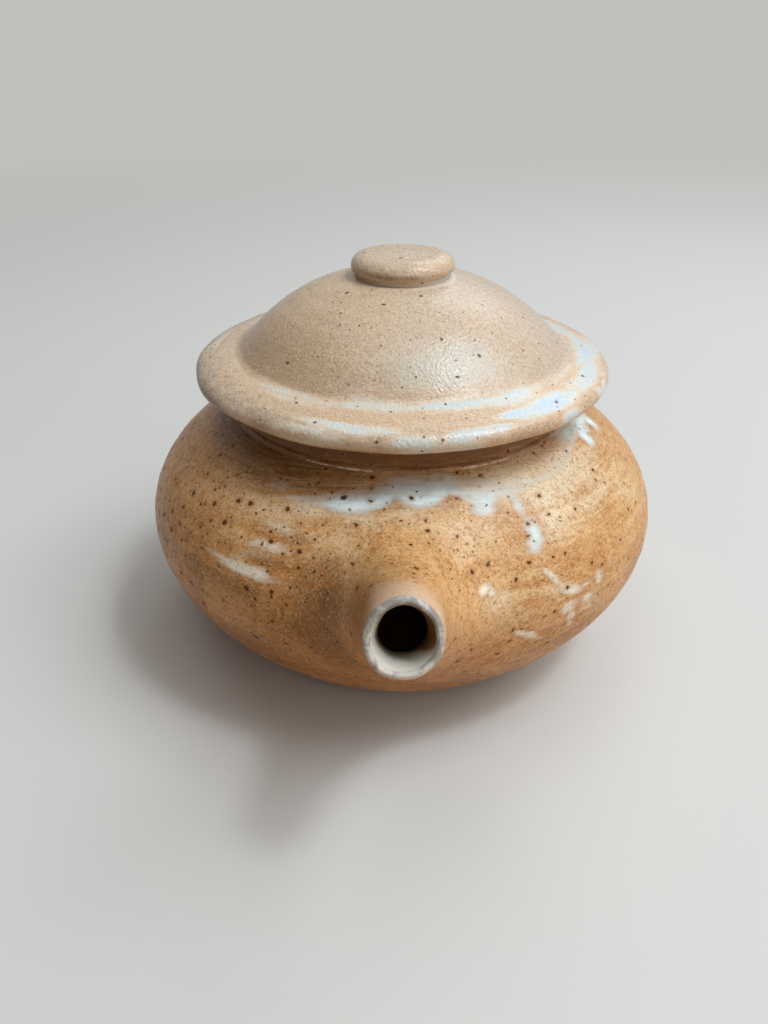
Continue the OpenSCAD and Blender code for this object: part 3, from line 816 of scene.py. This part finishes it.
def glaze_lid(o):
    _, _, z, angle, r = places(o)
    edge_z = DOME_Z - BRIM_DROOP - BRIM_EDGE_R
    under = (z < SEAT_Z + 0.3) & (r < NECK_R + 3) | (r < HOLLOW_R + 1) & (z < dome_z(r) - DOME_WALL / 2)
    west = -np.sin(np.radians(angle))
    left = 0.5 + 0.5 * west
    # Painted shade on the brim's lower edge and underside, reaching higher on the left, away from the lamps
    shade_z = edge_z - 2.5 + 1.2 * west + 4.4 * np.maximum(west, 0) ** 2.5
    low = clamp((shade_z - z) / 1.9) * (r > NECK_R + 1)
    brim = clamp((r - DOME_R - 1) / 3)
    # An ashen rim, stronger on the left, where it is partly painted shade
    rim = clamp((r - RIM_FROM + 8 * left) / (3 + 7 * left)) * (0.2 + 0.8 * left)
    # Painted shade over the dome's left side, away from the lamps
    toast = clamp(1.4 * left - 0.4) * clamp((r - TOAST_FROM) / 20) * (r < DOME_R + 2)
    # Painted cool light on the dome's right side, which faces the lamps
    cool = clamp(0.95 - left) * (r < DOME_R + 2)
    # A pale bluish film that is partly a painted highlight, laid where the lamps' highlight falls on the dome
    dew = 0.85 * hump(np.radians(angle - DEW_ANGLE) * r, 0, 20) * hump(r, DEW_R, 7)
    waist = hump(r, KNOB_WAIST_R + 1.2, 1.5) * (0.85 + 0.15 * np.sin(np.radians(angle - 10)))
    paint(
        o,
        white=np.where(under, 0, np.maximum(brim_pooled(angle, r), 0.95 * waist) * (1 - low)),
        peach=brim * clamp((z - SEAT_Z + 3) / 3),
        dark=low,
        rim=rim,
        dew=np.where(under, 0, dew),
        cool=np.where(under, 0, cool),
        toast=np.where(under, 0, toast),
        bare=np.where(under, 1.0, 0.0),
        brush=(r + 0.3 * (z - SEAT_Z)) * MM,
    )


def glaze_knob(o):
    _, _, z, angle, r = places(o)
    low = clamp((KNOB_Z + 2.6 - z) / 1.2)
    paint(
        o,
        white=low * (0.75 + 0.25 * np.sin(np.radians(angle - 10))),
        # Painted shade under the knob's overhanging edge
        dark=0.4 * hump(z, KNOB_Z + 3.2, 1.5) * (1 - low),
        # The knob takes half of the painted cool light
        cool=0.5,
        brush=r * MM,
        peach=0, rim=0, dew=0, toast=0, bare=0,
    )


# Node helpers
def put(g, socket, value):
    if isinstance(value, bpy.types.NodeSocket):
        g.links.new(value, socket)
    else:
        socket.default_value = value


def add(g, kind, ins=None, **props):
    n = g.nodes.new("ShaderNode" + kind)
    for k, v in props.items():
        setattr(n, k, v)
    for k, v in (ins or {}).items():
        put(g, n.inputs[k], v)
    return n


def noise(g, where, scale, detail=3, rough=0.55, warp=0):
    ins = {"Vector": where, "Scale": scale, "Detail": detail, "Roughness": rough, "Distortion": warp}
    return add(g, "TexNoise", ins).outputs[0]


def calc(g, op, a, b=0.0, c=0.0):
    return add(g, "Math", {0: a, 1: b, 2: c}, operation=op).outputs[0]


def ease(g, v, lo, hi, to_lo=0.0, to_hi=1.0):
    ins = {"Value": v, "From Min": lo, "From Max": hi, "To Min": to_lo, "To Max": to_hi}
    return add(g, "MapRange", ins, interpolation_type="SMOOTHSTEP").outputs[0]


def mix(g, f, a, b):
    n = add(g, "Mix", data_type="RGBA")
    put(g, n.inputs[0], f)
    for socket, v in ((n.inputs[6], a), (n.inputs[7], b)):
        put(g, socket, v if isinstance(v, bpy.types.NodeSocket) else (*v, 1.0))
    return n.outputs[2]


def field(g, name):
    return add(g, "Attribute", attribute_name=name, attribute_type="GEOMETRY").outputs["Fac"]


def specks(g, where, spacing, radius, least, growth=1):
    """Iron spots: how dark each point is, and a wider ring round each spot."""
    v = add(g, "TexVoronoi", {"Vector": where, "Scale": 1 / (spacing * MM)}, feature="F1")
    pick = add(g, "SeparateColor", {0: v.outputs["Color"]}).outputs[0]
    size = calc(g, "MULTIPLY", ease(g, pick, 0.15, 1.0, least, 1.0), radius / spacing)
    size = calc(g, "MULTIPLY", size, growth)
    share = calc(g, "DIVIDE", v.outputs["Distance"], size)
    return ease(g, share, 1.1, 0.7), ease(g, share, 2.6, 0.9)


def begin(name):
    """A material with an empty shader, its node tree, and the object's own coordinates."""
    m = bpy.data.materials.new(name)
    m.use_nodes = True
    g = m.node_tree
    g.nodes.clear()
    out = add(g, "OutputMaterial")
    shader = add(g, "BsdfPrincipled")
    g.links.new(shader.outputs[0], out.inputs[0])
    where = add(g, "TexCoord").outputs["Object"]
    return m, g, shader, where


def strokes(g, where, along, around, across, detail=3):
    """Noise drawn out along the strokes that went round the clay."""
    parts = add(g, "SeparateXYZ", {0: where})
    flat = add(g, "CombineXYZ", {
        0: calc(g, "MULTIPLY", parts.outputs[0], around),
        1: calc(g, "MULTIPLY", parts.outputs[1], around),
        2: calc(g, "MULTIPLY_ADD", along, across, calc(g, "MULTIPLY", parts.outputs[2], around)),
    })
    return noise(g, flat.outputs[0], 1.0, detail, 0.6)


def jittered(g, where, scale, size):
    n = add(g, "TexNoise", {"Vector": where, "Scale": scale, "Detail": 2.0})
    middle = (0.5, 0.5, 0.5)
    off = add(g, "VectorMath", {0: n.outputs[1], 1: middle}, operation="SUBTRACT").outputs[0]
    off = add(g, "VectorMath", {0: off, "Scale": size}, operation="SCALE").outputs[0]
    return add(g, "VectorMath", {0: where, 1: off}, operation="ADD").outputs[0]


def dress(g, shader, colour, rough, layers):
    """Sets a shader's colour and roughness, and its bumps, each with its depth in millimetres."""
    put(g, shader.inputs["Base Color"], colour)
    put(g, shader.inputs["Roughness"], rough)
    normal = None
    for height, depth in layers:
        ins = {"Height": height, "Strength": 1.0, "Distance": depth * MM}
        if normal is not None:
            ins["Normal"] = normal
        normal = add(g, "Bump", ins).outputs[0]
    put(g, shader.inputs["Normal"], normal)


# Colours, in linear light
OCHRE = (0.5, 0.245, 0.08)
AMBER = (0.62, 0.36, 0.155)
RUST = (0.4, 0.155, 0.028)
# Dark umber, for the glaze's darker grains and streaks, and for painted shade deep in the spout's mouth
UMBER = (0.2, 0.092, 0.028)
# Brown, laid on as the glaze's darker runs and as painted shade
BROWN = (0.25, 0.113, 0.03)
# Dark iron brown, laid on as dark glaze and as painted shade
IRON = (0.17, 0.072, 0.024)
SPECK = (0.055, 0.015, 0.002)
COCOA = (0.075, 0.03, 0.01)
MILK = (0.545, 0.59, 0.59)
# Bluish white, a painted reflection on the brim's strongest pools
GLINT = (0.46, 0.575, 0.68)
# Oyster grey, laid on as painted cool light
OYSTER = (0.485, 0.41, 0.345)
FROST = (0.62, 0.735, 0.76)
# Ivory, for thick dabs of glaze and for the painted highlight on the shoulder's ridge
IVORY = (0.8, 0.77, 0.68)
SNOW = (0.75, 0.85, 0.87)
HAZE = (0.54, 0.54, 0.5)
MIST = (0.8, 0.71, 0.53)
HONEY = (0.73, 0.55, 0.34)
# Pale bluish grey, for the film that is partly a painted highlight
DEW = (0.49, 0.48, 0.425)
FILM = (0.56, 0.47, 0.36)
SHELL = (0.66, 0.57, 0.45)
BLUSH = (0.62, 0.45, 0.33)
TOAST = (0.56, 0.36, 0.21)
CREAM = (0.65, 0.49, 0.31)
BARE = (0.47, 0.31, 0.185)
TAN = (0.5, 0.352, 0.217)
SAND = (0.6, 0.45, 0.31)
# Fawn, for the clay's tone and for painted shade on the dome's left
FAWN = (0.4, 0.265, 0.15)
PEACH = (0.58, 0.41, 0.28)
# Ash grey, for the rim's own tone and for painted shade on its left
ASH = (0.25, 0.2, 0.15)
WORN = (0.25, 0.22, 0.205)
PALE_LIP = (0.53, 0.5, 0.45)
CHALK = (0.67, 0.645, 0.57)
GRIT = (0.7, 0.58, 0.44)
SOOT = (0.25, 0.165, 0.1)


def stirred(g, value, *noises):
    """A value with noises added to it, each taken about its middle and scaled."""
    for grey, times in noises:
        value = calc(g, "ADD", value, calc(g, "MULTIPLY", calc(g, "SUBTRACT", grey, 0.5), times))
    return value


def tint(g, c, colour, where, most):
    """A colour laid over another where a mask is, at most by a share."""
    return mix(g, calc(g, "MULTIPLY", where, most), c, colour)


def pot_glaze():
    m, g, shader, where = begin("pot_glaze")
    brush = field(g, "brush")
    broad = noise(g, where, 24, 4, 0.6, 0.4)
    patch = noise(g, where, 75, 6, 0.65, 0.6)
    streak = strokes(g, where, brush, 55, 520, 5)
    hair = strokes(g, where, brush, 620, 1500, 3)
    lines = strokes(g, where, brush, 80, 1250, 2)
    grain = noise(g, where, 1300, 2, 0.6)
    mottle = noise(g, where, 430, 4, 0.65)

    # Ground, which turns from amber to rust and brown, the brown partly painted shade, and lightens to honey
    # and mist
    c = mix(g, ease(g, broad, 0.38, 0.66), OCHRE, AMBER)
    c = tint(g, c, AMBER, ease(g, streak, 0.47, 0.67), 0.8)
    c = tint(g, c, RUST, ease(g, streak, 0.48, 0.32), 0.5)
    rust = stirred(g, calc(g, "MULTIPLY", field(g, "rust"), 0.5), (patch, 1.5))
    c = tint(g, c, RUST, ease(g, rust, 0.05, 0.6), 0.9)
    # Brown and iron brown, partly painted shade left of the spout and round the left side
    brown = stirred(g, field(g, "brown"), (patch, 1.1))
    c = tint(g, c, BROWN, ease(g, brown, 0.15, 0.95), 0.85)
    c = tint(g, c, IRON, ease(g, brown, 1.0, 1.7), 0.85)
    pale = stirred(g, field(g, "pale"), (streak, 0.7), (patch, 0.7))
    c = tint(g, c, HONEY, ease(g, pale, 0.1, 1.2), 0.92)
    mist = stirred(g, field(g, "mist"), (streak, 0.7), (patch, 0.7))
    c = tint(g, c, MIST, ease(g, mist, 0.1, 1.2), 0.92)
    c = tint(g, c, CREAM, ease(g, hair, 0.54, 0.7), ease(g, pale, 0.0, 0.6, 0.35, 0.75))
    c = tint(g, c, UMBER, ease(g, hair, 0.46, 0.32), 0.42)
    c = tint(g, c, UMBER, ease(g, mottle, 0.5, 0.72), 0.48)
    c = tint(g, c, CREAM, ease(g, grain, 0.52, 0.68), 0.42)
    c = tint(g, c, UMBER, ease(g, grain, 0.48, 0.34), 0.48)

    # Dark, finely lined glaze round the neck, with painted shade under the lid's brim, lighter on the right
    upper = ease(g, field(g, "dark"), 0.03, 0.3)
    c = tint(g, c, UMBER, upper, ease(g, lines, 0.5, 0.34, 0.0, 0.75))
    c = tint(g, c, FILM, upper, ease(g, lines, 0.54, 0.7, 0.0, 0.5))
    dark = stirred(g, field(g, "dark"), (streak, 1.3))
    c = tint(g, c, IRON, ease(g, dark, 0.2, 0.8), 0.9)

    # Milky runs and ivory dabs
    edge = noise(g, where, 210, 5, 0.65, 0.6)
    lobes = noise(g, where, 105, 2, 0.5, 0.3)
    ivory = field(g, "ivory")
    thick = calc(g, "MAXIMUM", field(g, "white"), ivory)
    milk = stirred(g, thick, (edge, 0.8), (streak, 0.9), (lobes, 0.6), (hair, 0.6))
    c = tint(g, c, RUST, ease(g, milk, 0.05, 0.35), 0.3)
    c = tint(g, c, FILM, ease(g, milk, 0.15, 0.6), 0.5)
    haze = stirred(g, field(g, "white"), (streak, 0.6))
    c = tint(g, c, HAZE, ease(g, haze, 0.15, 0.7), 0.65)
    veil = ease(g, milk, 0.22, 1.1)
    chilled = mix(g, ease(g, thick, 0.35, 0.85), HAZE, FROST)
    chilled = mix(g, ease(g, milk, 0.8, 1.2), chilled, SNOW)
    whites = mix(g, ease(g, ivory, 0.15, 0.5), chilled, IVORY)
    c = tint(g, c, whites, veil, ease(g, mottle, 0.66, 0.4, 0.72, 0.95))

    # Iron spots, flattened a little and more crowded on one side
    parts = add(g, "SeparateXYZ", {0: where})
    drawn = add(g, "CombineXYZ", {
        0: parts.outputs[0],
        1: parts.outputs[1],
        2: calc(g, "MULTIPLY_ADD", parts.outputs[2], 1.25, 0.0152),
    }).outputs[0]
    spot_at = jittered(g, drawn, 900.0, 0.0012)
    crowd = ease(g, parts.outputs[0], -0.09, 0.09, 1.25, 0.7)
    big, flush = specks(g, spot_at, 4, 0.92, 0.2, crowd)
    small, _ = specks(g, spot_at, 2.2, 0.48, 0.25, crowd)
    fine, _ = specks(g, spot_at, 1.3, 0.24, 0.3, crowd)
    blot, _ = specks(g, spot_at, 13, 1.25, 0.3, crowd)
    c = tint(g, c, RUST, flush, 0.45)
    c = tint(g, c, UMBER, fine, 0.52)
    c = tint(g, c, SPECK, small, 0.85)
    c = tint(g, c, SPECK, calc(g, "MAXIMUM", big, blot), 0.95)

    # Painted highlight on the ridge under the neck, blushed spout, and its worn lip and pale mouth, with
    # painted shade deeper in the mouth
    broken = stirred(g, field(g, "ridge"), (patch, 1.1), (mottle, 1.2))
    c = tint(g, c, IVORY, ease(g, broken, 0.55, 1.05), 0.8)
    blush = stirred(g, field(g, "blush"), (patch, 0.8))
    c = tint(g, c, BLUSH, ease(g, blush, 0.1, 0.9), 0.85)
    lip = stirred(g, field(g, "lip"), (edge, 0.8))
    # Chalky inner wall, turning umber as painted shade deeper in the mouth and on its right side
    wall = mix(g, ease(g, field(g, "deep"), 0.5, 1.0), CHALK, UMBER)
    c = tint(g, c, wall, field(g, "inner"), calc(g, "GREATER_THAN", field(g, "deep"), 0.0))
    rubbed = calc(g, "MULTIPLY_ADD", field(g, "blush"), -0.2, edge)
    worn = mix(g, ease(g, rubbed, 0.27, 0.47), WORN, PALE_LIP)
    c = mix(g, ease(g, lip, 0.35, 0.6), c, worn)

    bare = ease(g, stirred(g, field(g, "bare"), (patch, 0.5)), 0.5, 0.6)
    c = mix(g, bare, c, mix(g, grain, BARE, FAWN))

    rough = ease(g, mottle, 0.3, 0.7, 0.32, 0.46)
    rough = calc(g, "MULTIPLY_ADD", veil, -0.08, rough)
    rough = calc(g, "MULTIPLY_ADD", bare, 0.38, rough)
    shader.inputs["Specular IOR Level"].default_value = 0.24
    dress(g, shader, c, rough, [(grain, 0.06), (hair, 0.04), (mottle, 0.12), (veil, 0.1), (big, -0.05)])
    return m


def lid_glaze():
    m, g, shader, where = begin("lid_glaze")
    brush = field(g, "brush")
    broad = noise(g, where, 30, 4, 0.6, 0.3)
    patch = noise(g, where, 80, 6, 0.65, 0.4)
    streak = strokes(g, where, brush, 45, 560, 4)
    grain = noise(g, where, 1300, 2, 0.6)
    mottle = noise(g, where, 480, 4, 0.65)
    peel = noise(g, where, 1250, 1, 0.5)

    # Ground, with painted shade on the left side and painted cool light on the right, a peach brim, and an
    # ashen rim that is partly painted shade on the left
    c = mix(g, ease(g, broad, 0.32, 0.7), TAN, SAND)
    c = tint(g, c, FAWN, ease(g, patch, 0.5, 0.7), 0.4)
    c = tint(g, c, SAND, ease(g, streak, 0.5, 0.7), 0.3)
    toast = stirred(g, field(g, "toast"), (patch, 0.6))
    c = tint(g, c, FAWN, ease(g, toast, 0.1, 1.1), 0.85)
    c = tint(g, c, OYSTER, field(g, "cool"), 0.75)
    peach = stirred(g, field(g, "peach"), (patch, 0.9))
    c = tint(g, c, PEACH, ease(g, peach, 0.3, 1.0), 0.75)
    rim = ease(g, stirred(g, field(g, "rim"), (mottle, 1.4)), 0.1, 0.95)
    c = tint(g, c, ASH, rim, 0.8)
    c = tint(g, c, TOAST, ease(g, patch, 0.5, 0.34), 0.3)
    c = tint(g, c, FAWN, ease(g, mottle, 0.5, 0.72), 0.25)
    grit = calc(g, "MULTIPLY_ADD", rim, 0.2, 0.42)
    c = tint(g, c, GRIT, ease(g, grain, 0.52, 0.7), grit)
    c = tint(g, c, SOOT, ease(g, grain, 0.48, 0.32), 0.44)

    # Pale bluish film, partly a painted highlight
    dew = stirred(g, field(g, "dew"), (grain, 0.9), (streak, 0.9))
    c = tint(g, c, DEW, ease(g, dew, 0.1, 1.0), 0.75)

    # Milky pools on the brim; the strongest turn bluish white, a painted reflection
    edge = noise(g, where, 190, 5, 0.65, 0.5)
    milk = stirred(g, field(g, "white"), (edge, 0.8), (streak, 1.1))
    c = tint(g, c, PEACH, ease(g, milk, 0.1, 0.45), 0.3)
    veil = ease(g, milk, 0.3, 1.0)
    pearl = mix(g, ease(g, milk, 0.6, 1.05), SHELL, MILK)
    # Painted reflection where the pools run strongest
    pearl = mix(g, ease(g, milk, 1.0, 1.35), pearl, GLINT)
    c = tint(g, c, pearl, veil, 0.92)

    # Iron spots
    spot_at = jittered(g, where, 800.0, 0.0009)
    big, _ = specks(g, spot_at, 5.6, 0.72, 0.25)
    small, _ = specks(g, spot_at, 3, 0.42, 0.3)
    fine, _ = specks(g, spot_at, 1.6, 0.2, 0.3)
    c = tint(g, c, UMBER, fine, 0.55)
    c = tint(g, c, COCOA, small, 0.85)
    c = tint(g, c, COCOA, big, 0.95)

    # Painted shade under the brim's edge and under the knob's edge
    dark = stirred(g, field(g, "dark"), (patch, 0.6))
    c = tint(g, c, IRON, ease(g, dark, 0.2, 0.7), 0.92)
    bare = field(g, "bare")
    c = mix(g, bare, c, mix(g, grain, BARE, FAWN))

    rough = ease(g, mottle, 0.3, 0.7, 0.13, 0.22)
    rough = calc(g, "MULTIPLY_ADD", veil, -0.08, rough)
    rough = calc(g, "MULTIPLY_ADD", bare, 0.4, rough)
    shader.inputs["Specular IOR Level"].default_value = 0.3
    dress(g, shader, c, rough, [(grain, 0.06), (peel, 0.17), (mottle, 0.2), (veil, 0.1)])
    return m


def bare_clay():
    m, g, shader, where = begin("bare_clay")
    grain = noise(g, where, 1300, 3, 0.65)
    cloud = noise(g, where, 90, 4, 0.6)
    c = mix(g, ease(g, cloud, 0.3, 0.7), BARE, FAWN)
    c = tint(g, c, SAND, ease(g, grain, 0.5, 0.75), 0.4)
    dots, _ = specks(g, where, 3.8, 0.32, 0.4)
    c = tint(g, c, UMBER, dots, 0.7)
    dress(g, shader, c, ease(g, cloud, 0.3, 0.7, 0.78, 0.92), [(grain, 0.08)])
    return m


pot_material = pot_glaze()
lid_material = lid_glaze()
clay_material = bare_clay()

pot = make_pot()
aim = Vector(SPOUT_DIR).to_track_quat("Z", "Y").to_matrix().to_4x4()
cut_bar(pot, HOLE_R + BORE_EASE, BORE_CUT, Matrix.Translation(Vector(SPOUT_ROOT)) @ aim, sides=72)
glaze_pot(pot)
settle(pot, pot_material, "pot", "pot_body")

spout, marks = make_spout()
glaze_pot(spout, **marks)
settle(spout, pot_material, "pot", "spout", SOFT_TURN)

handle = make_handle()
glaze_pot(handle, rusty=0.55)
settle(handle, pot_material, "pot", "handle", SOFT_TURN)

foot = make_foot()
settle(foot, clay_material, "pot", "foot_ring")

lid = make_lid()
glaze_lid(lid)
settle(lid, lid_material, "lid", "lid", LID_TURN)

flange = make_flange()
settle(flange, clay_material, "lid", "lid_flange")

knob = make_knob()
glaze_knob(knob)
settle(knob, lid_material, "lid", "lid_knob", SOFT_TURN)


# Floor, light and camera, with places in metres and lamp power in watts
FLOOR_PALE = (0.56, 0.55, 0.535)
BACKGROUND = (0.54, 0.53, 0.515)
FLOOR_WARM = (0.5, 0.32, 0.18)
AMBIENT = (0.115, 0.107, 0.096)
FADE = (0.35, 1.5)
FLOOR_R = 4.0
FLOOR_SIDES = 96
MIDDLE = Vector((0.0, 0.0, 0.06))
LAMPS = [
    ("key", (1.2, -0.26, 1.9), (1.25, 1.25), 35.8, (0.875, 0.955, 1.0)),
    ("pane", (0.84, -0.42, 1.9), (0.3, 0.24), 9.5, (0.88, 0.95, 1.0)),
    ("front", (0.6, -1.5, 1.2), (1.6, 0.8), 6.5, (1.0, 0.98, 0.95)),
    ("side", (1.6, -0.6, 0.4), (0.8, 0.5), 4.5, (1.0, 0.84, 0.66)),
    ("top", (-0.25, -0.05, 2.2), (1.4, 1.4), 9.5, (1.0, 0.98, 0.95)),
    ("sky", (0.7, 1.5, 1.4), (1.2, 0.8), 9.0, (0.9, 0.96, 1.0)),
]
LENS = 28.72
SENSOR = 36.0
CLIP_START = 0.01
PITCH = math.radians(30.82)
TURN = math.radians(0.77)
CAMERA_AT = Vector((-5.94, -263.7, 195.8)) * MM


def seen_ray(g):
    """1 where the eye sees a surface, directly, mirrored or through glass."""
    path = add(g, "LightPath").outputs
    shown = calc(g, "MAXIMUM", path["Is Glossy Ray"], path["Is Transmission Ray"])
    return calc(g, "MAXIMUM", path["Is Camera Ray"], shown)


def floor_paint():
    """Pale to the eye, fading to an even tone far off, and warm in the light that it throws back."""
    m, g, shader, where = begin("floor_paint")
    seen = seen_ray(g)
    g.links.new(mix(g, seen, FLOOR_WARM, FLOOR_PALE), shader.inputs["Base Color"])
    shader.inputs["Roughness"].default_value = 0.7
    away = add(g, "VectorMath", {0: where}, operation="LENGTH").outputs["Value"]
    even = add(g, "Emission", {"Color": (*BACKGROUND, 1.0)})
    both = add(g, "MixShader", {0: calc(g, "MULTIPLY", seen, ease(g, away, *FADE))})
    g.links.new(shader.outputs[0], both.inputs[1])
    g.links.new(even.outputs[0], both.inputs[2])
    out = next(n for n in g.nodes if n.type == "OUTPUT_MATERIAL")
    g.links.new(both.outputs[0], out.inputs[0])
    return m


def make_floor():
    a = circle(FLOOR_SIDES)
    co = np.column_stack([FLOOR_R * np.cos(a), FLOOR_R * np.sin(a), 0 * a])
    mesh = bpy.data.meshes.new("floor")
    mesh.from_pydata(co.tolist(), [], [list(range(len(a)))])
    mesh.materials.append(floor_paint())
    o = linked("floor", mesh)


def lamp(name, place, size, power, colour):
    data = bpy.data.lights.new(name, "AREA")
    data.shape = "RECTANGLE"
    data.size, data.size_y = size
    data.energy = power
    data.color = colour
    o = linked(name, data)
    o.location = place
    o.rotation_euler = (MIDDLE - Vector(place)).to_track_quat("-Z", "Y").to_euler()


make_floor()
for row in LAMPS:
    lamp(*row)

world = bpy.data.worlds.new("studio")
world.use_nodes = True
sky = world.node_tree
sky.links.new(mix(sky, seen_ray(sky), AMBIENT, BACKGROUND), sky.nodes["Background"].inputs["Color"])
bpy.context.scene.world = world

data = bpy.data.cameras.new("camera")
data.lens = LENS
data.sensor_width = SENSOR
data.clip_start = CLIP_START
camera = linked("camera", data)
camera.location = Matrix.Rotation(TURN, 3, "Z") @ CAMERA_AT
camera.rotation_euler = (math.pi / 2 - PITCH, 0.0, TURN)
bpy.context.scene.camera = camera
bpy.context.scene.view_settings.view_transform = "Standard"
